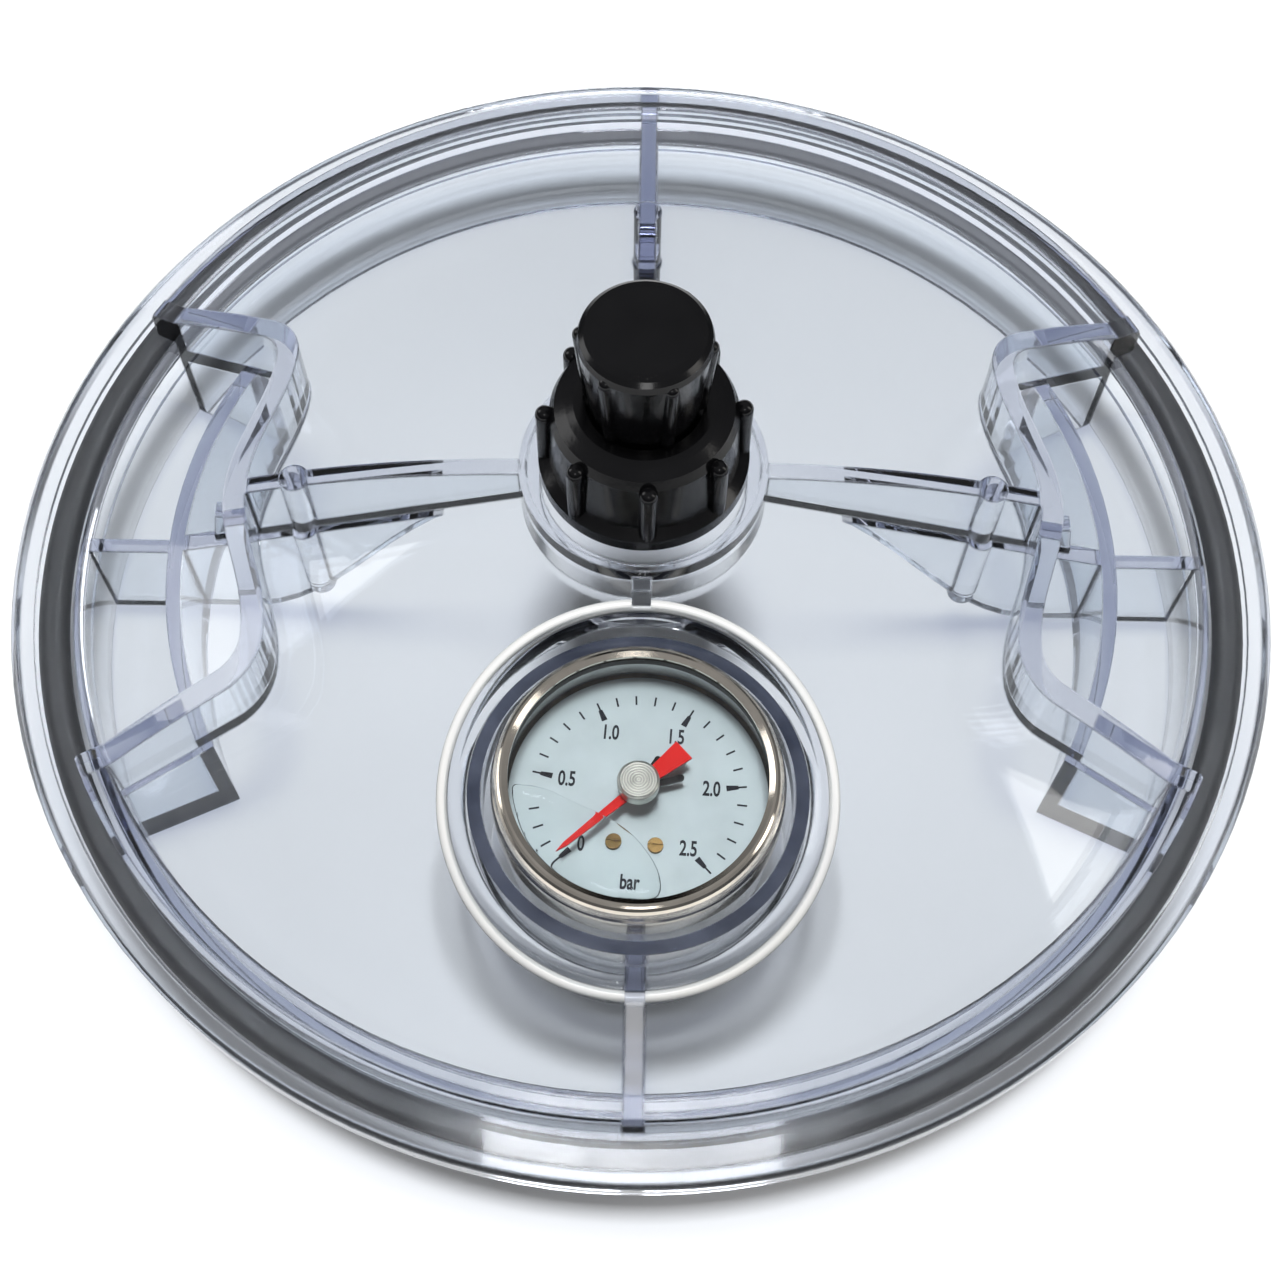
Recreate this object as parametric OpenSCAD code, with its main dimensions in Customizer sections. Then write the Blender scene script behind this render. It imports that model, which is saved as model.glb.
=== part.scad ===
// Clear moulded lid of a pool filter, with an air bleed valve at its centre
// and a liquid-filled pressure gauge in a well beside the valve.
// Millimetres. Origin on the lid's axis at the foot of its spigot, +Z up,
// and the gauge on the -Y side.

/* [Lid] */
// Outside diameter of the flange
flange_d = 250; // [249:1:258]
// Height of the flange's top face above the foot of the spigot
flange_z = 29; // [28.5:0.5:29.5]
// Thickness of the flange
flange_t = 5.5; // [5:0.5:6]
// Outside diameter of the spigot that drops into the housing
spigot_d = 228; // [227.5:0.5:228.5]
// Wall of the spigot
spigot_t = 2.5; // [2.2:0.1:3]
// Height of the raised rim above the flange
rim_h = 7; // [5:0.5:9]
// Thickness of the sloping crown plate
plate_t = 4; // [3:0.5:4.5]
// Thickness of the four cross ribs
rib_t = 3.5; // [2.5:0.5:5]
// Thickness of the wavy wall along each grip pocket
wave_t = 4.5; // [4:0.5:5]

/* [Bleed valve] */
// Diameter of the raised boss under the valve
boss_d = 46.4; // [46:0.2:48]
// Largest diameter of the union nut without its ribs
nut_d = 38.8; // [38:0.2:41]
// Number of grip ribs on the union nut
nut_ribs = 8; // [6:1:12]
// Diameter of the bleed cap at its top, without its ribs
cap_d = 23.2; // [22.4:0.2:25]
// Number of grip ribs on the bleed cap
cap_ribs = 6; // [5:1:10]

/* [Pressure gauge] */
// Distance of the gauge's axis from the lid's axis
gauge_off = 58.5; // [58:0.5:60]
// Turn of the gauge in its thread, seen from above
gauge_turn = -3.5; // [-10:0.5:10]
// Outside diameter of the bezel
bezel_d = 52.4; // [52:0.2:53]
// Clear diameter inside the bezel
view_d = 45.8; // [44:0.2:46.6]
// Teeth on the pointer's pinion
pinion_teeth = 8; // [8]
// Sector teeth that a full circle would hold
sector_teeth = 80; // [80]

/* [Hidden] */
$fn = 96;

// Lid: radii and heights worked out from the driving sizes
flange_r = flange_d / 2;
spigot_r = spigot_d / 2;
bore_r = spigot_r - spigot_t;
flange_under = flange_z - flange_t;
rim_in_r = 110.5;
rim_out_r = 115.8;
rim_z = flange_z + rim_h;
boss_r = boss_d / 2;
boss_z = flange_z + 30;
boss_lip_h = 0.8;
boss_lip_t = 1.4;
boss_wall = 3.7;
boss_top_t = 4.8;
neck_r = 15.6;
neck_z = 74.5;
neck_bore_r = 9.2;
plate_slope = 0.29;
plate_crown_z = flange_z + 21;
crest_start = 21;
crest_z = flange_z + 29;
crest_fall = 0.00272;
relief = 0.6;
relief_z = flange_under - 6;
gasket_r = 2.35;
gasket_flat = 1.3;
gasket_gap = 0.15;
gasket_in_r = spigot_r + 0.9;
// The outer land of the flange's underside stands lower and rests on the housing
seat_z = flange_under - 1;
seat_in_r = gasket_in_r + 2 * gasket_r + gasket_flat + 0.4;

// Grip pockets
floor_t = 4;
pocket_in_r = 94.7;
pocket_wall = 3;
pocket_rib_t = 3;
pocket_rib_z = flange_z - 2.6;
waist_x = 75.6;
lobe_x = 68.8;
lobe_y = 31;
lobe_r = 12;
flank_angle = 25.9;
flank_len = 56;
gusset_z = flange_z + 12;
post_at = 66;
post_r = 2.9;

// Gauge well
well_r = 28;
collar_t = 2.5;
collar_z = flange_z + 15;
well_floor_z = 17;
well_floor_t = 4;
port_boss_r = 11;
port_boss_z = 3.5;
port_r = 6.65;
bead_r = 33.4;
bead_tube = 2.2;
bead_angle = atan(plate_slope);
ledge_r = 32.5;
ledge_z = collar_z - 0.8;

// Valve heights
nut_z = boss_z + boss_lip_h + 0.2;
nut_base_h = 5;
nut_top_z = 80;
nut_rib_r = 1.7;
valve_flange_z = 75.7;
valve_flange_t = 2.4;
valve_flange_r = 14.2;
spout_r = 7;
spout_bore_r = 3.5;
spout_z = 93;
tail_r = 9;
tail_bore_r = 5;
tail_z = 57;
cap_z = 80.4;
cap_top_z = 100;
cap_foot_r = 9.9;
cap_rib_r = 1.4;
plug_r = 3.3;
plug_head_r = 6.5;
plug_head_t = 2.2;
plug_seat = 0.2;
plug_stem = 6;

// Gauge heights, above the foot of the spigot
case_r = 24.8;
case_t = 0.8;
case_z = 25;
case_top_z = 46.6;
seal_t = 1.6;
window_z = 48.25;
window_t = 2;
bezel_z = 41.5;
bezel_top_z = 51.3;
dial_z = 40;
dial_t = 0.5;
dial_r = 23.4;
socket_r = 6.58;
socket_hex = 17;
washer_t = 1.5;
block_z = 26;
block_h = 6;
tube_r = 19.5;
tube_w = 2.4;
tube_h = 5;
tube_start = -60;
tube_sweep = 250;
base_plate_z = 32.7;
top_plate_z = 37;
mp_t = 0.8;
sector_z = 34.3;
sector_t = 0.8;
pitch_r = 1.2;
sector_r = pitch_r * sector_teeth / pinion_teeth;
pivot_y = -(pitch_r + sector_r);
sector_first = -7;
sector_last = 1;
tooth_tip = 0.2;
tooth_root = 0.42;
arbor_r = 0.8;
arbor_play = 0.05;
tail_len = 6;
link_z = 35.3;
link_t = 0.6;
pillar_spots = [[6.2, 3.6], [-6.2, 3.6], [6.4, -15.6]];
dial_screw_x = 3.75;
dial_screw_y = -9.5;
pointer_z = 44.2;
pointer_t = 0.5;
pointer_zero = 225;
pointer_len = 18.9;
hub_r = 3.75;
hub_boss_r = 1.8;
hub_z = 47.8;
plug_hole_r = 3;
plug_hole_z = 34;

clear_plastic = [0.72, 0.78, 0.88, 0.45];
black_plastic = [0.06, 0.06, 0.06];
rubber = [0.10, 0.10, 0.10];
steel = [0.78, 0.78, 0.80];
brass = [0.80, 0.66, 0.35];
dial_white = [0.90, 0.93, 0.95];
pointer_red = [0.85, 0.10, 0.06];

// Height of the ribs' and wavy walls' crest at radius r
function crest(r) = crest_z - crest_fall * pow(max(r - crest_start, 0), 2);
// Height of the crown plate's upper face at radius r
function plate(r) = plate_crown_z - plate_slope * (r - boss_r);
// Height inside the crown plate, where other walls start
function plate_core(r) = plate(r) - plate_t / 2;
// Lower edge of a cross rib at radius r: an S from the boss down to the pocket floor
function rib_foot(r) = 25.2 + 21.2 * cos(180 * min(max(r - 26, 0), 56) / 56);

// One side of a pocket's wavy edge, shifted by t away from the lid's axis
function wave_half(t) = concat(
    [for (i = [0 : 10]) [(waist_x + lobe_x) / 2 + (waist_x - lobe_x) / 2 * cos(18 * i) + t,
                         lobe_y * i / 10]],
    [for (i = [1 : 8]) let (a = 180 - (90 - flank_angle) * i / 8)
        [lobe_x + lobe_r + (lobe_r - t) * cos(a), lobe_y + (lobe_r - t) * sin(a)]],
    [[lobe_x + lobe_r + (lobe_r - t) * cos(90 + flank_angle) + flank_len * cos(flank_angle),
      lobe_y + (lobe_r - t) * sin(90 + flank_angle) + flank_len * sin(flank_angle)]]);

// Everything beyond the wavy edge on the +X side
module beyond_wave(t) {
    half = wave_half(t);
    n = len(half);
    polygon(concat([for (i = [n - 1 : -1 : 1]) [half[i][0], -half[i][1]]], half));
}

module ring(r_in, r_out, z, h) {
    translate([0, 0, z]) difference() {
        cylinder(r = r_out, h = h);
        translate([0, 0, -1]) cylinder(r = r_in, h = h + 2);
    }
}

module both_sides() {
    children();
    mirror([1, 0, 0]) children();
}

module at_gauge() {
    translate([0, -gauge_off, 0]) rotate([0, 0, gauge_turn]) children();
}

// ---- lid ----

module crown_plate() {
    rotate_extrude() polygon([
        [boss_r - boss_wall, plate(boss_r - boss_wall) - plate_t],
        [rim_in_r + 1, plate(rim_in_r + 1) - plate_t],
        [rim_in_r + 1, plate(rim_in_r + 1)],
        [boss_r - boss_wall, plate(boss_r - boss_wall)]]);
}

module rim_and_spigot() {
    edge = 1;
    rotate_extrude() polygon([
        [bore_r, 0], [spigot_r - edge, 0], [spigot_r, edge], [spigot_r, relief_z],
        [spigot_r - relief, relief_z], [spigot_r - relief, flange_under], [seat_in_r, flange_under],
        [seat_in_r, seat_z], [flange_r - edge, seat_z], [flange_r, seat_z + edge],
        [flange_r, flange_z - edge], [flange_r - edge, flange_z], [rim_out_r, flange_z],
        [rim_out_r, rim_z - edge], [rim_out_r - edge, rim_z], [rim_in_r + edge / 2, rim_z],
        [rim_in_r, rim_z - edge / 2], [rim_in_r, plate_core(rim_in_r)], [bore_r, plate_core(rim_in_r)]]);
}

module centre_boss() {
    under = plate(boss_r) - plate_t;
    rotate_extrude() polygon([
        [boss_r - boss_wall, under], [boss_r, under], [boss_r, boss_z + boss_lip_h],
        [boss_r - boss_lip_t, boss_z + boss_lip_h], [boss_r - boss_lip_t, boss_z], [neck_r, boss_z],
        [neck_r, neck_z], [neck_bore_r, neck_z], [neck_bore_r, boss_z - boss_top_t],
        [boss_r - boss_wall, boss_z - boss_top_t]]);
}

// A cross rib along +X: it stands on the plate out to r_top and under it out to r_foot
module cross_rib(r_top, r_foot) {
    start = boss_r - 1;
    upper = [for (i = [0 : 12]) let (r = start + (r_top - start) * i / 12) [r, crest(r)]];
    lower = [for (i = [16 : -1 : 0]) let (r = start + (r_foot - start) * i / 16) [r, rib_foot(r)]];
    step = r_foot > r_top ? [[r_top, plate_core(r_top)], [r_foot, plate_core(r_foot)]] : [];
    rotate([90, 0, 0]) translate([0, 0, -rib_t / 2]) linear_extrude(rib_t)
        polygon(concat(upper, step, lower));
}

// Round post on a cross rib
module rib_post() {
    foot = rib_foot(post_at);
    translate([post_at, 0, foot]) cylinder(r = post_r, h = crest(post_at) + 0.4 - foot);
}

// The wall that follows the wavy edge, up to the crest line
module wave_wall() {
    steps = 10;
    from = 62;
    to = rim_out_r - 0.5;
    function at(i) = from + (to - from) * i / steps;
    intersection() {
        linear_extrude(crest_z) difference() {
            beyond_wave(0);
            beyond_wave(wave_t);
        }
        rotate_extrude() polygon(concat(
            [for (i = [0 : steps]) [at(i), max(plate_core(at(i)), at(i) > bore_r ? flange_under + 1 : 0)]],
            [for (i = [steps : -1 : 0]) [at(i), max(crest(at(i)), rim_z)]]));
    }
}

// Solid block that the grip pocket is cut from
module pocket_block() {
    inner = pocket_in_r - pocket_wall;
    intersection() {
        linear_extrude(flange_z + 10) beyond_wave(0);
        rotate_extrude() polygon([
            [inner, 0], [bore_r + 1, 0], [bore_r + 1, plate_core(bore_r + 1)], [inner, plate_core(inner)]]);
    }
}

module pocket_cut() {
    intersection() {
        translate([0, 0, floor_t]) linear_extrude(crest_z) beyond_wave(wave_t);
        ring(pocket_in_r, bore_r, floor_t, crest_z);
    }
    intersection() {
        translate([0, 0, flange_z]) linear_extrude(crest_z) beyond_wave(wave_t);
        ring(bore_r - 3, flange_r, flange_z, crest_z);
    }
}

module pocket_ribs() {
    translate([pocket_in_r - 1, -pocket_rib_t / 2, floor_t - 1])
        cube([bore_r - pocket_in_r + 2, pocket_rib_t, pocket_rib_z - floor_t + 1]);
    translate([waist_x + wave_t - 0.5, rib_t / 2, 0]) rotate([90, 0, 0]) linear_extrude(rib_t)
        polygon([[0, plate_core(waist_x + wave_t)], [5, plate_core(waist_x + wave_t + 5)],
                 [5, plate(waist_x + wave_t + 5) + 1.5], [3.5, gusset_z], [0, gusset_z]]);
}

module gauge_well() {
    translate([0, -gauge_off, 0]) {
        ring(well_r, well_r + collar_t, well_floor_z - well_floor_t, collar_z - well_floor_z + well_floor_t);
        translate([0, 0, well_floor_z - well_floor_t]) cylinder(r = well_r + 1, h = well_floor_t);
        translate([0, 0, port_boss_z]) cylinder(r = port_boss_r, h = well_floor_z - port_boss_z - 1);
    }
}

// Shelf that closes the gap between collar and plate on the valve's side of the well
module well_shelf() {
    intersection() {
        translate([0, -gauge_off, 0]) ring(well_r + 1, bead_r + 1, ledge_z - 4, 4);
        rotate_extrude() polygon([
            [0, 0], [rim_in_r, 0], [rim_in_r, plate_core(rim_in_r)],
            [boss_r - boss_wall, plate_core(boss_r - boss_wall)], [0, plate_core(boss_r - boss_wall)]]);
    }
}

// Rounded bead round the well, lying in the slope of the plate
module well_bead() {
    translate([0, -gauge_off, plate(gauge_off)]) rotate([bead_angle, 0, 0]) rotate_extrude()
        translate([bead_r, 0]) {
            circle(r = bead_tube);
            translate([-bead_tube, -4.2]) square([2 * bead_tube, 4.2]);
        }
}

module lid() {
    well_top = crest_z + 5;
    color(clear_plastic) {
        difference() {
            union() {
                difference() {
                    union() {
                        crown_plate();
                        rim_and_spigot();
                        well_bead();
                        both_sides() pocket_block();
                        well_shelf();
                    }
                    translate([0, -gauge_off, ledge_z]) cylinder(r = ledge_r, h = well_top);
                    both_sides() pocket_cut();
                }
                centre_boss();
                both_sides() wave_wall();
                both_sides() cross_rib(waist_x + 2, pocket_in_r - 1);
                both_sides() rib_post();
                rotate([0, 0, 90]) cross_rib(rim_in_r + 1, bore_r + 0.5);
                rotate([0, 0, 90]) rib_post();
                rotate([0, 0, -90]) cross_rib(rim_in_r + 1, bore_r + 0.5);
                gauge_well();
                both_sides() pocket_ribs();
            }
            translate([0, -gauge_off, well_floor_z]) cylinder(r = well_r, h = well_top);
            translate([0, -gauge_off, collar_z]) cylinder(r = ledge_r, h = well_top);
            translate([0, -gauge_off, -1]) cylinder(r = port_r, h = well_floor_z + 2);
            translate([0, 0, neck_z - 40]) cylinder(r = neck_bore_r, h = 50);
        }
    }
}

module lid_gasket() {
    color(rubber) rotate_extrude()
        translate([gasket_in_r + gasket_r, flange_under - gasket_r - gasket_gap]) hull() {
            circle(r = gasket_r, $fn = 48);
            translate([gasket_flat, 0]) circle(r = gasket_r, $fn = 48);
        }
}

// ---- bleed valve ----

module valve_body() {
    color(black_plastic) rotate_extrude() polygon([
        [tail_bore_r, tail_z], [tail_r, tail_z], [tail_r, valve_flange_z], [valve_flange_r, valve_flange_z],
        [valve_flange_r, valve_flange_z + valve_flange_t], [spout_r, valve_flange_z + valve_flange_t],
        [spout_r, spout_z - 0.6], [spout_r - 0.6, spout_z], [spout_bore_r, spout_z],
        [spout_bore_r, valve_flange_z], [tail_bore_r, valve_flange_z - 2]]);
}

module valve_gasket() {
    color(rubber) ring(tail_r + 0.3, valve_flange_r - 0.2, neck_z + 0.02, valve_flange_z - neck_z - 0.04);
}

module union_nut() {
    r = nut_d / 2;
    wall_r = r - 2.2;
    lip_z = valve_flange_z + valve_flange_t + 0.05;
    color(black_plastic) difference() {
        union() {
            rotate_extrude() polygon([
                [5, nut_z], [r - 1, nut_z], [r, nut_z + 1], [r, nut_z + nut_base_h - 1.2],
                [wall_r + 0.3, nut_z + nut_base_h + 0.4], [wall_r - 0.3, nut_top_z - 3.4],
                [wall_r - 1.2, nut_top_z - 1.6], [wall_r - 3.2, nut_top_z - 0.6],
                [wall_r - 4.6, nut_top_z], [5, nut_top_z]]);
            for (i = [0 : nut_ribs - 1]) rotate([0, 0, -87 + 360 * i / nut_ribs])
                translate([r - nut_rib_r, 0, nut_z + 3]) {
                    cylinder(r = nut_rib_r, h = nut_top_z - nut_z - 6.6, $fn = 32);
                    translate([0, 0, nut_top_z - nut_z - 6.6]) sphere(r = nut_rib_r, $fn = 32);
                }
        }
        translate([0, 0, nut_z - 1]) cylinder(r = neck_r + 0.3, h = lip_z - nut_z + 1);
        translate([0, 0, lip_z - 1]) cylinder(r = cap_foot_r + 0.6, h = 10);
    }
}

module bleed_cap() {
    r = cap_d / 2;
    lean = atan((r - cap_foot_r) / (cap_top_z - cap_z));
    seat = spout_z + plug_seat + plug_head_t + 0.1;
    color(black_plastic) difference() {
        union() {
            rotate_extrude() polygon([
                [0, cap_z], [cap_foot_r - 0.5, cap_z], [cap_foot_r, cap_z + 0.5], [r, cap_top_z - 2.2],
                [r - 0.35, cap_top_z - 1], [r - 1.2, cap_top_z - 0.35], [r - 2.6, cap_top_z], [0, cap_top_z]]);
            for (i = [0 : cap_ribs - 1]) rotate([0, 0, -6 + 360 * i / cap_ribs])
                translate([cap_foot_r - 0.3, 0, cap_z + 0.4]) rotate([0, lean, 0]) {
                    cylinder(r = cap_rib_r, h = cap_top_z - cap_z - 3.4, $fn = 32);
                    translate([0, 0, cap_top_z - cap_z - 3.4]) sphere(r = cap_rib_r, $fn = 32);
                }
        }
        translate([0, 0, cap_z - 1]) cylinder(r = spout_r + 0.3, h = seat - cap_z + 1);
    }
}

module vent_plug() {
    base = spout_z + plug_seat;
    groove = base - 3.4;
    color(rubber) rotate_extrude() polygon([
        [0, base - plug_stem], [plug_r - 0.6, base - plug_stem], [plug_r, base - plug_stem + 0.8],
        [plug_r, groove - 0.8], [plug_r - 1.2, groove - 0.8], [plug_r - 1.2, groove + 0.8],
        [plug_r, groove + 0.8], [plug_r, base], [plug_head_r, base], [plug_head_r, base + plug_head_t],
        [0, base + plug_head_t]]);
}

module vent_plug_o_ring() {
    tube = 0.62;
    color(rubber) rotate_extrude()
        translate([plug_r - 1.2 + tube + 0.02, spout_z + plug_seat - 3.4]) circle(r = tube, $fn = 32);
}

// ---- pressure gauge ----

module gauge_case() {
    color(steel) at_gauge() difference() {
        translate([0, 0, case_z]) cylinder(r = case_r, h = case_top_z - case_z);
        translate([0, 0, case_z + 1]) cylinder(r = case_r - case_t, h = case_top_z);
        translate([0, 0, case_z - 1]) cylinder(r = socket_r - 0.3, h = 3);
        translate([0, case_r - 3, plug_hole_z]) rotate([-90, 0, 0]) cylinder(r = plug_hole_r, h = 5);
    }
}

module gauge_bezel() {
    r = bezel_d / 2;
    lip_r = view_d / 2;
    turn_z = 46.6;
    round_r = r - lip_r - 1;
    arc = [for (i = [0 : 8]) let (a = 90 * i / 8)
        [lip_r + 1 + round_r * cos(a), turn_z + (bezel_top_z - turn_z) * sin(a)]];
    color(steel) at_gauge() rotate_extrude() polygon(concat(
        [[case_r + 0.1, bezel_z], [r - 0.5, bezel_z], [r, bezel_z + 0.5]], arc,
        [[lip_r, bezel_top_z - 0.5], [lip_r, window_z + window_t + 0.05],
         [case_r + 0.1, window_z + window_t + 0.05]]));
}

module gauge_window() {
    color(clear_plastic) at_gauge() translate([0, 0, window_z]) cylinder(r = case_r, h = window_t);
}

module window_seal() {
    color(rubber) at_gauge() ring(view_d / 2 + 0.3, case_r, case_top_z + 0.02, seal_t);
}

module filling_plug() {
    head_t = 1.4;
    color(rubber) at_gauge() translate([0, case_r - case_t - 1, plug_hole_z]) rotate([-90, 0, 0]) {
        cylinder(r = plug_hole_r - 0.05, h = case_t + 1.3);
        translate([0, 0, case_t + 1.3]) cylinder(r = plug_hole_r + 1, h = head_t);
    }
}

module gauge_dial() {
    color(dial_white) at_gauge() difference() {
        translate([0, 0, dial_z]) cylinder(r = dial_r, h = dial_t);
        translate([0, 0, dial_z - 1]) cylinder(r = 1.6, h = 3);
        for (x = [-dial_screw_x, dial_screw_x])
            translate([x, dial_screw_y, dial_z - 1]) cylinder(r = 0.85, h = 3);
    }
}

module dial_screws() {
    color(brass) at_gauge() for (x = [-dial_screw_x, dial_screw_x])
        translate([x, dial_screw_y, 0]) {
            translate([0, 0, top_plate_z + mp_t + 0.4])
                cylinder(r = 0.8, h = dial_z + dial_t - top_plate_z - mp_t);
            difference() {
                translate([0, 0, dial_z + dial_t]) cylinder(r = 1.4, h = 0.7);
                translate([-2, -0.2, dial_z + dial_t + 0.4]) cube([4, 0.4, 1]);
            }
        }
}

module gauge_socket() {
    hex_z = well_floor_z + washer_t;
    color(brass) at_gauge() difference() {
        union() {
            translate([0, 0, 5]) cylinder(r1 = socket_r - 0.8, r2 = socket_r, h = 0.8);
            translate([0, 0, 5.8]) cylinder(r = socket_r, h = hex_z - 5.8);
            translate([0, 0, hex_z]) cylinder(r = socket_hex / sqrt(3), h = case_z - hex_z, $fn = 6);
            translate([0, 0, case_z]) cylinder(r = socket_r - 0.4, h = 1);
            translate([0, 0, block_z]) cylinder(r = socket_r - 0.4, h = block_h);
            rotate([0, 0, tube_start]) intersection() {
                translate([0, -4, block_z]) cube([tube_r, 8, block_h]);
                translate([0, 0, block_z - 1]) cylinder(r = tube_r - tube_w / 2 - 0.1, h = block_h + 2);
            }
        }
        translate([0, 0, 4]) cylinder(r = 1.5, h = block_z + 3 - 4);
        rotate([0, 0, tube_start]) translate([0, 0, block_z + 3]) rotate([0, 90, 0])
            cylinder(r = 0.8, h = tube_r);
    }
}

module socket_washer() {
    color(rubber) translate([0, -gauge_off, 0])
        ring(socket_r + 0.2, 10, well_floor_z + 0.02, washer_t - 0.04);
}

// C-shaped spring tube that pressure uncurls
module bourdon_tube() {
    wall = 0.35;
    lift = block_z + 0.5;
    color(brass) at_gauge() rotate([0, 0, tube_start - 8]) translate([0, 0, lift])
        rotate_extrude(angle = tube_sweep + 8) translate([tube_r - tube_w / 2, 0]) difference() {
            square([tube_w, tube_h]);
            translate([wall, wall]) square([tube_w - 2 * wall, tube_h - 2 * wall]);
        }
}

module tube_tip() {
    end = tube_start + tube_sweep;
    color(brass) at_gauge() rotate([0, 0, end + 0.2]) {
        translate([tube_r - tube_w / 2, 0, block_z + 0.5]) cube([tube_w, 3, tube_h + 1]);
        translate([tube_r - 3.2, 0.6, block_z + tube_h + 1.5]) cube([3.2, 1.8, 1]);
        translate([tube_r - 3.2, 0.6, block_z + tube_h + 2.5])
            cube([1.6, 1.8, link_z - block_z - tube_h - 2.8]);
    }
}

module movement_plate(z) {
    at_gauge() difference() {
        translate([-8, -18.4, z]) cube([16, 24.4, mp_t]);
        translate([0, 0, z - 1]) cylinder(r = arbor_r + arbor_play, h = 3);
        translate([0, pivot_y, z - 1]) cylinder(r = arbor_r + arbor_play, h = 3);
    }
}

module movement_base_plate() {
    color(brass) movement_plate(base_plate_z);
}

module movement_top_plate() {
    color(brass) difference() {
        union() {
            movement_plate(top_plate_z);
            at_gauge() for (x = [-dial_screw_x, dial_screw_x])
                translate([x, dial_screw_y, top_plate_z + 0.1])
                    cylinder(r = 1.7, h = dial_z - top_plate_z - 0.1);
        }
        at_gauge() for (x = [-dial_screw_x, dial_screw_x])
            translate([x, dial_screw_y, top_plate_z + mp_t + 0.3]) cylinder(r = 0.85, h = 4);
    }
}

module movement_pillars() {
    color(brass) at_gauge() for (spot = pillar_spots)
        translate([spot[0], spot[1], base_plate_z + mp_t])
            cylinder(r = 1.2, h = top_plate_z - base_plate_z - mp_t);
}

module pointer() {
    tail_near = 5.2;
    tail_far = 10.8;
    color(pointer_red) at_gauge() translate([0, 0, pointer_z]) rotate([0, 0, pointer_zero]) difference() {
        union() {
            linear_extrude(pointer_t) polygon([
                [0, -1], [pointer_len - 2, -0.42], [pointer_len, 0], [pointer_len - 2, 0.42], [0, 1]]);
            linear_extrude(pointer_t) polygon([
                [0, 0.9], [-tail_near, 1.5], [-tail_far, 2.15],
                [-tail_far, -2.15], [-tail_near, -1.5], [0, -0.9]]);
            cylinder(r = 2.6, h = pointer_t);
        }
        translate([0, 0, -1]) cylinder(r = hub_boss_r, h = 3);
    }
}

module pointer_hub() {
    color(steel) at_gauge() difference() {
        union() {
            translate([0, 0, pointer_z - 1.2]) cylinder(r = hub_boss_r, h = 2);
            rotate_extrude() polygon([
                [0, pointer_z + pointer_t], [hub_r - 0.4, pointer_z + pointer_t],
                [hub_r, pointer_z + pointer_t + 0.4], [hub_r, hub_z - 0.5], [hub_r - 0.5, hub_z], [0, hub_z]]);
        }
        translate([0, 0, pointer_z - 2]) cylinder(r = arbor_r, h = 4);
    }
}

function polar(r, a) = [r * cos(a), r * sin(a)];

// Corners of one tooth: its place as a share of the pitch, and 1 at the tip or 0 at the root
tooth_corners = [[-0.30, 0], [-0.13, 1], [0.13, 1], [0.30, 0]];

// Teeth of a spur gear from tooth number first to tooth number last, pitch circle at r
function teeth(r, count, first, last) =
    [for (k = [first : last]) for (c = tooth_corners)
        polar(c[1] == 1 ? r + tooth_tip : r - tooth_root, 90 + 360 / count * (k + c[0]))];

module pointer_arbor() {
    color(brass) at_gauge() {
        translate([0, 0, base_plate_z + 0.1]) cylinder(r = arbor_r, h = pointer_z + 2 - base_plate_z - 0.1);
        translate([0, 0, sector_z - 0.2]) rotate([0, 0, 180 / pinion_teeth]) linear_extrude(sector_t + 0.4)
            polygon(teeth(pitch_r, pinion_teeth, 0, pinion_teeth - 1));
    }
}

module sector_gear() {
    web_r = sector_r - 2;
    root_r = sector_r - tooth_root;
    first_a = 90 + 360 / sector_teeth * (sector_first - 0.5);
    last_a = 90 + 360 / sector_teeth * (sector_last + 0.5);
    color(brass) at_gauge() translate([0, pivot_y, 0]) {
        translate([0, 0, base_plate_z + 0.1])
            cylinder(r = arbor_r, h = top_plate_z + mp_t - base_plate_z - 0.2);
        translate([0, 0, sector_z]) linear_extrude(sector_t) {
            difference() {
                polygon(concat([[0, 0], polar(root_r, first_a)],
                    teeth(sector_r, sector_teeth, sector_first, sector_last), [polar(root_r, last_a)]));
                polygon([polar(4, first_a + 14), polar(web_r, first_a + 5),
                         polar(web_r, last_a - 5), polar(4, last_a - 14)]);
            }
            circle(r = 2);
            translate([-tail_len, -0.9]) square([tail_len, 1.8]);
            translate([-tail_len, 0]) circle(r = 1.1);
        }
        translate([-tail_len, 0, sector_z + sector_t - 0.1]) cylinder(r = 0.5, h = 1.2);
    }
}

module sector_link() {
    tip = tube_start + tube_sweep;
    reach = [(tube_r - 2.4) * cos(tip) + tail_len, (tube_r - 2.4) * sin(tip) - pivot_y];
    len = norm(reach);
    color(brass) at_gauge() translate([-tail_len, pivot_y, link_z]) rotate([0, 0, atan2(reach[1], reach[0])])
        difference() {
            union() {
                translate([0, -0.6, 0]) cube([len, 1.2, link_t]);
                cylinder(r = 1.1, h = link_t);
                translate([len, 0, 0]) cylinder(r = 1.1, h = link_t);
            }
            translate([0, 0, -1]) cylinder(r = 0.55, h = 3);
            translate([len, 0, -1]) cylinder(r = 0.55, h = 3);
        }
}

lid();
lid_gasket();
valve_body();
valve_gasket();
union_nut();
bleed_cap();
vent_plug();
vent_plug_o_ring();
gauge_case();
gauge_bezel();
gauge_window();
window_seal();
filling_plug();
gauge_dial();
dial_screws();
gauge_socket();
socket_washer();
bourdon_tube();
tube_tip();
movement_base_plate();
movement_top_plate();
movement_pillars();
pointer();
pointer_hub();
pointer_arbor();
sector_gear();
sector_link();
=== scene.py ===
"""Looks of the clear filter lid: materials, dial print, small visual pieces, light and camera."""
import math

import bmesh
import bpy
from mathutils import Matrix, Vector

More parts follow.
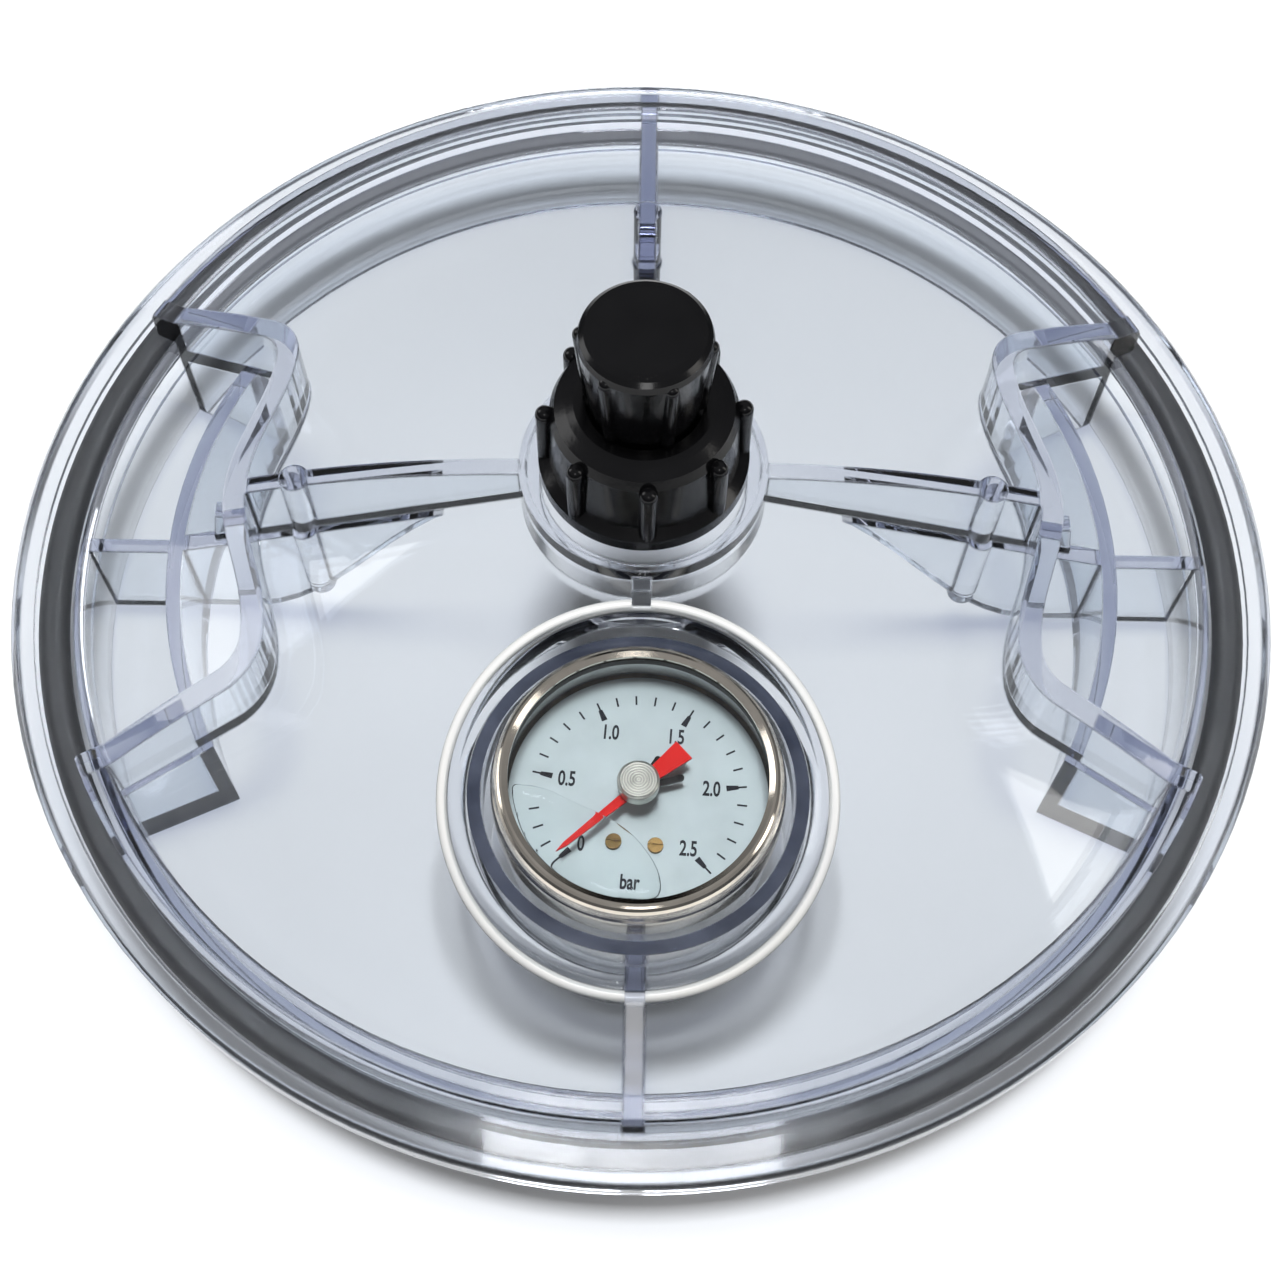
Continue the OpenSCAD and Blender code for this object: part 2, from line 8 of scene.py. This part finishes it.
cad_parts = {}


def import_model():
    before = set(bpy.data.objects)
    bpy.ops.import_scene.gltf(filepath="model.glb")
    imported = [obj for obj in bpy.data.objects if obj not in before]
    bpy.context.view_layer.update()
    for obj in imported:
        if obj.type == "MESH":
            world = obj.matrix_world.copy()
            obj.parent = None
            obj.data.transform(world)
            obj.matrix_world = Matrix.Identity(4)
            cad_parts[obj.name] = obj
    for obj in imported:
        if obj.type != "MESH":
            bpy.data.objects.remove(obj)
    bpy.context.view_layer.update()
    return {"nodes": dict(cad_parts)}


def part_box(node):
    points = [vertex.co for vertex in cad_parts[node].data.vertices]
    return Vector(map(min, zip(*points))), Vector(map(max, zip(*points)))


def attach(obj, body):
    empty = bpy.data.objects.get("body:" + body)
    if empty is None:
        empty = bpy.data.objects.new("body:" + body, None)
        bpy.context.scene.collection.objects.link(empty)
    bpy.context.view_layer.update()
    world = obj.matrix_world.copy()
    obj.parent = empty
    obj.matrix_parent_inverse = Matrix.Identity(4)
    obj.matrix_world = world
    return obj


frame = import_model()
nodes = frame["nodes"]
MM = 0.001

# ---------------------------------------------------------------- places from the frame
lid_low, lid_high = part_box("lid")
lid_r = (lid_high.x - lid_low.x) / 2
dial_low, dial_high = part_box("gauge_dial")
gauge_x = (dial_low.x + dial_high.x) / 2
gauge_y = (dial_low.y + dial_high.y) / 2
gauge_centre = Vector((gauge_x, gauge_y))
dial_top = dial_high.z
bezel_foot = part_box("gauge_bezel")[0].z
window_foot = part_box("gauge_window")[0].z
gauge_turn = math.radians(-3.5)

# ---------------------------------------------------------------- dial, lengths in millimetres
SCALE_START = -135              # degrees clockwise from the dial's upper end
SCALE_STEPS = 25
STEP_ANGLE = 270 / SCALE_STEPS
STEPS_PER_NUMBER = 5
SHORT_MARK = (17.8, 19.6, 0.17, 0.17)    # inner and outer radius, half width at each
LONG_MARK = (15.9, 18.1, 0.56, 0.36)
NUMBER_RADIUS = 13.2
LAST_NUMBER_RADIUS = 13.6
NUMBER_SIZE = 4.0
NUMBER_WIDTH = 0.66             # share of the font's own width
ZERO_PLACE = (-9.4, -10.2)
UNIT_PLACE = (-0.3, -16.6)
UNIT_SIZE = 3.6
UNIT_WIDTH = 0.72
LETTER_SWELL = 0.09             # added all round each letter
PRINT_SINK = 0.02               # below the dial's face
PRINT_RISE = 0.04               # above it

# ---------------------------------------------------------------- small pieces, in millimetres
CLIP_ARMS = ((27, 6.7, 0.55), (70, 7.9, 0.6))    # angle in degrees, reach, half width
CLIP_INNER = 1.4
CLIP_LOW = 2.5                  # above the dial's face
CLIP_HIGH = 3.1
CLIP_END_STEPS = 16

BUBBLE_OUTLINE = [(-22.0, -3.5), (-19.5, -2.6), (-15.5, -3.2), (-10.5, -5.2), (-5.5, -7.2),
                  (-1.2, -9.6), (2.2, -12.9), (4.6, -16.6), (5.3, -20.2), (3.6, -21.9),
                  (-2.0, -22.2), (-8.5, -20.6), (-14.5, -17.0), (-19.2, -11.6)]
BUBBLE_PROFILE = [(0.25, 0.0), (0.75, 0.0), (0.90, 0.03), (0.965, 0.18), (1.0, 0.6),
                  (0.98, 0.95), (0.93, 1.15), (0.82, 1.3), (0.25, 1.35)]    # scale, drop
BUBBLE_GAP = 0.1                # below the window
BUBBLE_SMOOTHING = 6            # points drawn for each point of the outline

# Bead glint: a thin white ring on the bead's outer shoulder, a painted highlight.
BEAD_RADIUS = 35.2
BEAD_TUBE = 1.15
BEAD_DROP = 1.1                 # below the bezel's foot
BEAD_SLOPE = 0.29               # rise over run of the plate that the bead lies on
BEAD_STEPS = 160
BEAD_TUBE_STEPS = 10

# Collar shade: a thin dark ring on the collar's top, painted shade.
COLLAR_INNER = 28.15
COLLAR_OUTER = 30.5
COLLAR_LOW = 43.98              # heights above the lid's foot
COLLAR_HIGH = 44.12
COLLAR_STEPS = 128

# ---------------------------------------------------------------- stage and camera
FLOOR_HALF = 1.7                # metres
FLOOR_GAP = 0.0002
LAMP_TARGET = (0, 0, 0.03)
SKY_STRENGTH = 0.28
ELEVATION = 59.65               # degrees
ROLL = 0.893                    # degrees
DISTANCE = 2.857                # in lid radii
AIM_X = -0.0012                 # in lid radii
AIM_Y = -0.1672
AIM_HEIGHT = 0.029              # metres, the flange's top
SENSOR = 36                     # millimetres
FOCAL_LENGTH = 50.0146875
BOUNCES = 24                    # high, since light crosses many clear walls


# ---------------------------------------------------------------- node helpers
class Nodes:
    """Short calls for building one material's node tree."""

    def __init__(self, name):
        self.mat = bpy.data.materials.new(name)
        self.mat.use_nodes = True
        self.tree = self.mat.node_tree
        self.tree.nodes.clear()
        self.out = self.add("ShaderNodeOutputMaterial")
        self.bsdf = self.add("ShaderNodeBsdfPrincipled")
        self.link(self.bsdf.outputs["BSDF"], self.out.inputs["Surface"])
        self.coord = self.add("ShaderNodeTexCoord").outputs["Object"]

    def add(self, kind, **settings):
        node = self.tree.nodes.new(kind)
        for key, value in settings.items():
            setattr(node, key, value)
        return node

    def link(self, source, target):
        self.tree.links.new(source, target)

    def set(self, **values):
        """Constants on the shader's own sockets, with underscores for spaces."""
        for key, value in values.items():
            self.bsdf.inputs[key.replace("_", " ")].default_value = value

    def noise(self, scale, detail):
        """Soft random pattern fixed to the piece."""
        node = self.add("ShaderNodeTexNoise")
        node.inputs["Scale"].default_value = scale
        node.inputs["Detail"].default_value = detail
        node.inputs["Roughness"].default_value = 0.55
        self.link(self.coord, node.inputs["Vector"])
        return node.outputs["Fac"]

    def shades(self, pattern, dark, light, dark_until=0.3, light_from=0.75):
        """Base colour that follows a pattern from a dark shade to a light one."""
        node = self.add("ShaderNodeValToRGB")
        stops = node.color_ramp.elements
        for stop, place, colour in zip(stops, (dark_until, light_from), (dark, light)):
            stop.position = place
            stop.color = (*colour, 1.0)
        self.link(pattern, node.inputs["Fac"])
        self.link(node.outputs["Color"], self.bsdf.inputs["Base Color"])

    def roughness(self, pattern, low, high):
        """Roughness that follows a pattern between two values."""
        node = self.add("ShaderNodeMapRange")
        node.inputs["To Min"].default_value = low
        node.inputs["To Max"].default_value = high
        self.link(pattern, node.inputs["Value"])
        self.link(node.outputs["Result"], self.bsdf.inputs["Roughness"])

    def bump(self, height, strength, distance, normal=None):
        """Surface relief, laid over an earlier normal where one is given."""
        node = self.add("ShaderNodeBump")
        node.inputs["Strength"].default_value = strength
        node.inputs["Distance"].default_value = distance
        self.link(height, node.inputs["Height"])
        if normal is not None:
            self.link(normal, node.inputs["Normal"])
        self.link(node.outputs["Normal"], self.bsdf.inputs["Normal"])
        return node.outputs["Normal"]

    def let_light_through(self, tint):
        """Lamps reach what is behind the clear plastic, through a pale tint."""
        path = self.add("ShaderNodeLightPath")
        clear = self.add("ShaderNodeBsdfTransparent")
        clear.inputs["Color"].default_value = (*tint, 1.0)
        mix = self.add("ShaderNodeMixShader")
        self.link(path.outputs["Is Shadow Ray"], mix.inputs["Fac"])
        self.link(self.bsdf.outputs["BSDF"], mix.inputs[1])
        self.link(clear.outputs["BSDF"], mix.inputs[2])
        self.link(mix.outputs["Shader"], self.out.inputs["Surface"])


# ---------------------------------------------------------------- materials
def clear_lid_plastic():
    """Clear moulded plastic, faintly blue where it is thick, with softened edges."""
    n = Nodes("clear_lid_plastic")
    n.set(Base_Color=(0.905, 0.935, 0.955, 1), IOR=1.57, Transmission_Weight=1.0)
    n.roughness(n.noise(90, 4), 0.0, 0.05)
    soft_edges = n.add("ShaderNodeBevel", samples=4)
    soft_edges.inputs["Radius"].default_value = 0.0007
    n.bump(n.noise(28, 2), 0.05, 0.0004, soft_edges.outputs["Normal"])
    absorb = n.add("ShaderNodeVolumeAbsorption")
    absorb.inputs["Color"].default_value = (0.38, 0.42, 0.60, 1)
    absorb.inputs["Density"].default_value = 28.0
    n.link(absorb.outputs["Volume"], n.out.inputs["Volume"])
    n.let_light_through((0.955, 0.965, 0.97))
    return n.mat


def thin_clear(name, colour, ior, noise_scale, tint):
    """Clear material with a faint tint, for the window and the bubble."""
    n = Nodes(name)
    n.set(Base_Color=(*colour, 1), IOR=ior, Transmission_Weight=1.0)
    n.roughness(n.noise(noise_scale, 3), 0.0, 0.03)
    n.let_light_through(tint)
    return n.mat


def black_plastic():
    """Smooth black moulding with a fine grain over a slight ripple."""
    n = Nodes("black_plastic")
    n.shades(n.noise(60, 5), (0.0015, 0.0015, 0.0018), (0.004, 0.004, 0.0045))
    n.set(Specular_IOR_Level=0.32)
    n.roughness(n.noise(220, 4), 0.10, 0.24)
    grain = n.bump(n.noise(1400, 2), 0.12, 0.0001)
    n.bump(n.noise(120, 3), 0.2, 0.0003, grain)
    return n.mat


def black_rubber():
    """Dull black rubber."""
    n = Nodes("black_rubber")
    n.shades(n.noise(80, 4), (0.004, 0.004, 0.004), (0.012, 0.0115, 0.011), light_from=0.8)
    n.roughness(n.noise(300, 3), 0.45, 0.7)
    n.bump(n.noise(900, 3), 0.25, 0.0002)
    return n.mat


def turned(name, colour, dark, light, rough, groove=0.2, ring_scale=2600, ringed=False):
    """Metal with fine rings round the gauge's axis, between two strengths of one colour.

    The shades follow the rings where ringed is set, and a soft mottle otherwise.
    """
    n = Nodes(name)
    n.set(Metallic=1.0)
    centred = n.add("ShaderNodeMapping")
    centred.inputs["Location"].default_value = (-gauge_x, -gauge_y, 0)
    n.link(n.coord, centred.inputs["Vector"])
    wave = n.add("ShaderNodeTexWave", wave_type="RINGS", rings_direction="Z")
    wave.inputs["Scale"].default_value = ring_scale
    wave.inputs["Distortion"].default_value = 1.5
    wave.inputs["Detail"].default_value = 2.0
    n.link(centred.outputs["Vector"], wave.inputs["Vector"])
    rings = wave.outputs["Fac"]
    n.shades(rings if ringed else n.noise(140, 4),
             tuple(c * dark for c in colour), tuple(min(c * light, 1.0) for c in colour))
    n.roughness(n.noise(260, 3), *rough)
    n.bump(rings, groove, 0.00005)
    return n.mat


def painted(name, colour, rough=(0.3, 0.45), spread=0.12, shine=0.4):
    """Paint or ink, mottled by the given spread of its colour."""
    n = Nodes(name)
    n.set(Specular_IOR_Level=shine)
    n.shades(n.noise(120, 4), tuple(c * (1 - spread) for c in colour),
             tuple(min(c * (1 + spread / 2), 1.0) for c in colour))
    n.roughness(n.noise(400, 3), *rough)
    n.bump(n.noise(900, 2), 0.1, 0.00005)
    return n.mat


def bead_glint_white():
    """Milky white painted glint for the shoulder of the bead round the well, standing in for the lamps'
    reflection there.
    """
    n = Nodes("bead_painted_glint")
    n.set(IOR=1.5, Transmission_Weight=0.3, Roughness=0.2)
    n.shades(n.noise(30, 3), (0.93, 0.94, 0.94), (1.0, 0.99, 0.95), light_from=0.7)
    return n.mat


def collar_shade_blue():
    """Deep blue-grey painted shade for the collar's flat top, standing in for the dark that the plastic's
    inner reflection shows there.
    """
    n = Nodes("collar_painted_shade")
    n.set(IOR=1.5, Transmission_Weight=0.5)
    n.shades(n.noise(70, 3), (0.035, 0.045, 0.075), (0.13, 0.15, 0.21), light_from=0.7)
    n.roughness(n.noise(200, 3), 0.05, 0.15)
    return n.mat


def floor_paper():
    """Plain pale paper under the part."""
    n = Nodes("floor_paper")
    n.shades(n.noise(6, 3), (0.86, 0.865, 0.87), (0.90, 0.905, 0.91), light_from=0.8)
    n.set(Roughness=0.7)
    return n.mat


def assign(material, *names):
    """Gives CAD nodes a material in place of their own."""
    for name in names:
        slots = nodes[name].data.materials
        slots.clear()
        slots.append(material)


plastic = black_plastic()
assign(clear_lid_plastic(), "lid")
assign(thin_clear("clear_window", (0.97, 0.985, 0.99), 1.49, 160, (0.96, 0.98, 0.99)), "gauge_window")
assign(plastic, "valve_body", "union_nut", "bleed_cap")
assign(black_rubber(), "lid_gasket", "valve_gasket", "vent_plug", "vent_plug_o_ring", "window_seal",
       "filling_plug", "socket_washer")
assign(turned("stainless", (0.72, 0.72, 0.71), dark=0.85, light=1.1, rough=(0.14, 0.3)), "gauge_case")
assign(turned("hub_steel", (0.55, 0.545, 0.50), dark=0.72, light=1.12, rough=(0.22, 0.36),
              groove=1.0, ring_scale=650, ringed=True), "pointer_hub")
assign(turned("screw_bronze", (0.16, 0.10, 0.035), dark=0.7, light=1.2, rough=(0.3, 0.5)), "dial_screws")
assign(turned("bezel_steel", (0.86, 0.79, 0.68), dark=0.9, light=1.08, rough=(0.05, 0.14), groove=0.08),
       "gauge_bezel")
assign(turned("brass", (0.78, 0.58, 0.26), dark=0.8, light=1.08, rough=(0.18, 0.35)),
       "gauge_socket", "bourdon_tube", "tube_tip", "movement_base_plate", "movement_top_plate",
       "movement_pillars", "pointer_arbor", "sector_gear", "sector_link")
assign(painted("dial_white", (0.43, 0.49, 0.505)), "gauge_dial")
assign(painted("pointer_red", (0.55, 0.005, 0.003), rough=(0.4, 0.5), shine=0.15), "pointer")


# ---------------------------------------------------------------- shape helpers
def add_piece(name, bm, material, body, smooth=False):
    """Puts a finished shape in the scene as a piece that rides on a body."""
    mesh = bpy.data.meshes.new(name)
    bm.to_mesh(mesh)
    bm.free()
    mesh.materials.append(material)
    for polygon in mesh.polygons:
        polygon.use_smooth = smooth
    piece = bpy.data.objects.new(name, mesh)
    bpy.context.scene.collection.objects.link(piece)
    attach(piece, body)


def bridge(bm, first, second):
    """Band of faces between two closed rings that have equally many vertices."""
    count = len(first)
    for i in range(count):
        j = (i + 1) % count
        bm.faces.new((first[i], first[j], second[j], second[i]))


def prism(bm, corners, low, high):
    """Upright prism over corners, a list of (x, y) in metres."""
    bottom = [bm.verts.new((x, y, low)) for x, y in corners]
    top = [bm.verts.new((x, y, high)) for x, y in corners]
    bm.faces.new(bottom[::-1])
    bm.faces.new(top)
    bridge(bm, bottom, top)


def revolve(profile, steps, centre, tilt=0.0):
    """Ring body: a closed profile of (radius, height) in metres, turned about an axis at centre."""
    lean = Matrix.Rotation(tilt, 3, "X")
    bm = bmesh.new()
    sections = []
    for i in range(steps):
        angle = 2 * math.pi * i / steps
        sections.append([bm.verts.new(centre + lean @ Vector((r * math.cos(angle), r * math.sin(angle), z)))
                         for r, z in profile])
    for i in range(steps):
        bridge(bm, sections[i], sections[(i + 1) % steps])
    bmesh.ops.recalc_face_normals(bm, faces=bm.faces)
    return bm


def dial_direction(angle):
    """Unit vector on the dial, angle in degrees clockwise from its upper end."""
    turn = math.radians(90 - angle) + gauge_turn
    return Vector((math.cos(turn), math.sin(turn)))


def radial_bar(bm, angle, inner, outer, inner_half, outer_half, low, high):
    """Bar that points away from the gauge's centre, tapered between two half widths."""
    along = dial_direction(angle)
    across = Vector((-along.y, along.x))
    corners = [gauge_centre + (along * r + across * w) * MM for r, w in
               ((inner, -inner_half), (outer, -outer_half), (outer, outer_half), (inner, inner_half))]
    prism(bm, [(c.x, c.y) for c in corners], low, high)


def lettering(bm, words, place, size, width, low, high):
    """Upright number or unit centred on a place of the dial."""
    curve = bpy.data.curves.new("lettering", "FONT")
    curve.body = words
    curve.size = size * MM
    curve.align_x = "CENTER"
    curve.align_y = "CENTER"
    curve.offset = LETTER_SWELL * MM
    curve.extrude = (high - low) / 2
    curve.resolution_u = 4
    obj = bpy.data.objects.new("lettering", curve)
    bpy.context.scene.collection.objects.link(obj)
    bpy.context.view_layer.update()
    mesh = bpy.data.meshes.new_from_object(obj)
    mesh.transform(Matrix.Translation((gauge_x, gauge_y, (low + high) / 2))
                   @ Matrix.Rotation(gauge_turn, 4, "Z")
                   @ Matrix.Translation((place[0] * MM, place[1] * MM, 0))
                   @ Matrix.Diagonal((width, 1, 1, 1)))
    bm.from_mesh(mesh)
    bpy.data.objects.remove(obj)
    bpy.data.meshes.remove(mesh)


# ---------------------------------------------------------------- pieces
def collar_shade_ring():
    """Painted shade on the flat top of the collar round the gauge: a thin dark blue-grey ring in place of
    the dark that the plastic's inner reflection shows there.
    """
    low, high = COLLAR_LOW * MM, COLLAR_HIGH * MM
    inner, outer = COLLAR_INNER * MM, COLLAR_OUTER * MM
    profile = [(inner, low), (inner, high), (outer, high), (outer, low)]
    bm = revolve(profile, COLLAR_STEPS, Vector((gauge_x, gauge_y, 0)))
    add_piece("collar_shade_ring", bm, collar_shade_blue(), "lid_body")


def dial_print():
    """Scale marks, numbers and unit."""
    bm = bmesh.new()
    low, high = dial_top - PRINT_SINK * MM, dial_top + PRINT_RISE * MM
    for step in range(SCALE_STEPS + 1):
        angle = SCALE_START + STEP_ANGLE * step
        radial_bar(bm, angle, *SHORT_MARK, low, high)
        if step % STEPS_PER_NUMBER == 0:
            radial_bar(bm, angle, *LONG_MARK, low, high)
            if step > 0:
                radius = LAST_NUMBER_RADIUS if step == SCALE_STEPS else NUMBER_RADIUS
                turn = math.radians(90 - angle)
                lettering(bm, "%.1f" % (step / 10), (radius * math.cos(turn), radius * math.sin(turn)),
                          NUMBER_SIZE, NUMBER_WIDTH, low, high)
    lettering(bm, "0", ZERO_PLACE, NUMBER_SIZE, NUMBER_WIDTH, low, high)
    lettering(bm, "bar", UNIT_PLACE, UNIT_SIZE, UNIT_WIDTH, low, high)
    ink = painted("dial_ink", (0.006, 0.006, 0.01), rough=(0.5, 0.6), spread=0.4, shine=0.08)
    add_piece("dial_print", bm, ink, "lid_body")


def pointer_clip():
    """Black two-armed clip under the pointer's tail, with round ends."""
    bm = bmesh.new()
    low, high = dial_top + CLIP_LOW * MM, dial_top + CLIP_HIGH * MM
    for angle, reach, half in CLIP_ARMS:
        radial_bar(bm, angle, CLIP_INNER, reach, half, half, low, high)
        end = gauge_centre + dial_direction(angle) * (reach * MM)
        turns = [2 * math.pi * i / CLIP_END_STEPS for i in range(CLIP_END_STEPS)]
        prism(bm, [(end.x + half * MM * math.cos(t), end.y + half * MM * math.sin(t)) for t in turns],
              low, high)
    add_piece("pointer_clip", bm, plastic, "spindle")


def smooth_loop(points, steps):
    """Smooth closed curve through all the points, as a Catmull-Rom spline."""
    count = len(points)
    loop = []
    for i in range(count):
        p0, p1, p2, p3 = (Vector(points[(i + k - 1) % count]) for k in range(4))
        for step in range(steps):
            t = step / steps
            loop.append(0.5 * ((2 * p1) + (p2 - p0) * t + (2 * p0 - 5 * p1 + 4 * p2 - p3) * t * t
                               + (3 * p1 - p0 - 3 * p2 + p3) * t ** 3))
    return loop


def filling_bubble():
    """Air bubble in the gauge's clear filling: a flat lens under the window at the lower left."""
    turn = Matrix.Rotation(gauge_turn, 2)
    middle = Vector(tuple(sum(axis) for axis in zip(*BUBBLE_OUTLINE))) / len(BUBBLE_OUTLINE)
    outline = smooth_loop(BUBBLE_OUTLINE, BUBBLE_SMOOTHING)
    bm = bmesh.new()
    rings = []
    for scale, drop in BUBBLE_PROFILE:
        z = window_foot - (BUBBLE_GAP + drop) * MM
        places = [turn @ (middle + (point - middle) * scale) for point in outline]
        rings.append([bm.verts.new((gauge_x + p.x * MM, gauge_y + p.y * MM, z)) for p in places])
    for upper, lower in zip(rings, rings[1:]):
        bridge(bm, upper, lower)
    bm.faces.new(rings[0][::-1])
    bm.faces.new(rings[-1])
    bmesh.ops.recalc_face_normals(bm, faces=bm.faces)
    clear = thin_clear("bubble", (0.97, 0.98, 0.98), 1.18, 200, (0.97, 0.98, 0.98))
    add_piece("filling_bubble", bm, clear, "lid_body", smooth=True)


def bead_painted_glint():
    """Painted glint on the outer shoulder of the bead round the well: a thin white ring in place of the
    lamps' reflection there.
    """
    turns = [2 * math.pi * k / BEAD_TUBE_STEPS for k in range(BEAD_TUBE_STEPS)]
    profile = [((BEAD_RADIUS + BEAD_TUBE * math.cos(t)) * MM, BEAD_TUBE * math.sin(t) * MM) for t in turns]
    centre = Vector((gauge_x, gauge_y, bezel_foot - BEAD_DROP * MM))
    bm = revolve(profile, BEAD_STEPS, centre, tilt=math.atan(BEAD_SLOPE))
    add_piece("bead_painted_glint", bm, bead_glint_white(), "lid_body", smooth=True)


collar_shade_ring()
dial_print()
pointer_clip()
filling_bubble()
bead_painted_glint()


# ---------------------------------------------------------------- stage
def floor():
    """Flat floor just under the lid's foot."""
    half = FLOOR_HALF
    mesh = bpy.data.meshes.new("floor")
    mesh.from_pydata([(-half, -half, 0), (half, -half, 0), (half, half, 0), (-half, half, 0)],
                     [], [(0, 1, 2, 3)])
    mesh.materials.append(floor_paper())
    obj = bpy.data.objects.new("floor", mesh)
    obj.location.z = lid_low.z - FLOOR_GAP
    bpy.context.scene.collection.objects.link(obj)


def softbox(name, place, width, height, power, colour=(1, 1, 1), mirrored=True):
    """Rectangular lamp aimed at the part, left out of reflections where mirrored is False."""
    light = bpy.data.lights.new(name, "AREA")
    light.shape = "RECTANGLE"
    light.size = width
    light.size_y = height
    light.energy = power
    light.color = colour
    obj = bpy.data.objects.new(name, light)
    obj.location = place
    obj.visible_glossy = mirrored
    obj.rotation_euler = (Vector(LAMP_TARGET) - Vector(place)).to_track_quat("-Z", "Y").to_euler()
    bpy.context.scene.collection.objects.link(obj)


def world():
    """Grey sky that brightens upwards, with a plain pale backdrop where the camera sees it."""
    studio = bpy.data.worlds.new("studio")
    bpy.context.scene.world = studio
    studio.use_nodes = True
    tree = studio.node_tree
    sky = tree.nodes["Background"]
    sky.inputs["Strength"].default_value = SKY_STRENGTH
    coord = tree.nodes.new("ShaderNodeTexCoord")
    split = tree.nodes.new("ShaderNodeSeparateXYZ")
    ramp = tree.nodes.new("ShaderNodeValToRGB")
    low, high = ramp.color_ramp.elements
    low.position = 0.0
    low.color = (0.10, 0.11, 0.13, 1)
    high.position = 0.75
    high.color = (0.95, 0.96, 1.0, 1)
    backdrop = tree.nodes.new("ShaderNodeBackground")
    backdrop.inputs["Color"].default_value = (0.92, 0.93, 0.94, 1)
    path = tree.nodes.new("ShaderNodeLightPath")
    mix = tree.nodes.new("ShaderNodeMixShader")
    for source, target in ((coord.outputs["Generated"], split.inputs["Vector"]),
                           (split.outputs["Z"], ramp.inputs["Fac"]),
                           (ramp.outputs["Color"], sky.inputs["Color"]),
                           (path.outputs["Is Camera Ray"], mix.inputs["Fac"]),
                           (sky.outputs["Background"], mix.inputs[1]),
                           (backdrop.outputs["Background"], mix.inputs[2]),
                           (mix.outputs["Shader"], tree.nodes["World Output"].inputs["Surface"])):
        tree.links.new(source, target)


def camera():
    """Camera in front of and above the lid, rolled a little, with the flange filling the picture."""
    elevation = math.radians(ELEVATION)
    roll = math.radians(ROLL)
    distance = DISTANCE * lid_r
    place = Vector((0, -distance * math.cos(elevation), distance * math.sin(elevation) + AIM_HEIGHT))
    target = Vector((AIM_X * lid_r, AIM_Y * lid_r, AIM_HEIGHT))
    ahead = (target - place).normalized()
    level = ahead.cross(Vector((0, 0, 1))).normalized()
    upright = level.cross(ahead)
    right = level * math.cos(roll) + upright * math.sin(roll)
    up = upright * math.cos(roll) - level * math.sin(roll)
    data = bpy.data.cameras.new("camera")
    data.sensor_width = SENSOR
    data.lens = FOCAL_LENGTH
    data.clip_start = 0.01
    obj = bpy.data.objects.new("camera", data)
    obj.matrix_world = Matrix.Translation(place) @ Matrix((right, up, -ahead)).transposed().to_4x4()
    bpy.context.scene.collection.objects.link(obj)
    bpy.context.scene.camera = obj


floor()
world()
camera()
softbox("overhead", (0.0, 0.08, 1.3), width=0.26, height=0.22, power=17, mirrored=False)
softbox("front", (0.05, -0.95, 1.25), width=0.34, height=0.24, power=1.5)
softbox("left", (-1.0, 0.35, 0.7), width=0.5, height=0.6, power=2.4)
softbox("right", (0.95, -0.1, 0.6), width=0.3, height=0.8, power=2.2, colour=(1, 0.97, 0.92))
scene = bpy.context.scene
scene.view_settings.view_transform = "Standard"
scene.cycles.caustics_refractive = False
scene.cycles.caustics_reflective = False
scene.cycles.max_bounces = BOUNCES
scene.cycles.transmission_bounces = BOUNCES
scene.cycles.transparent_max_bounces = BOUNCES
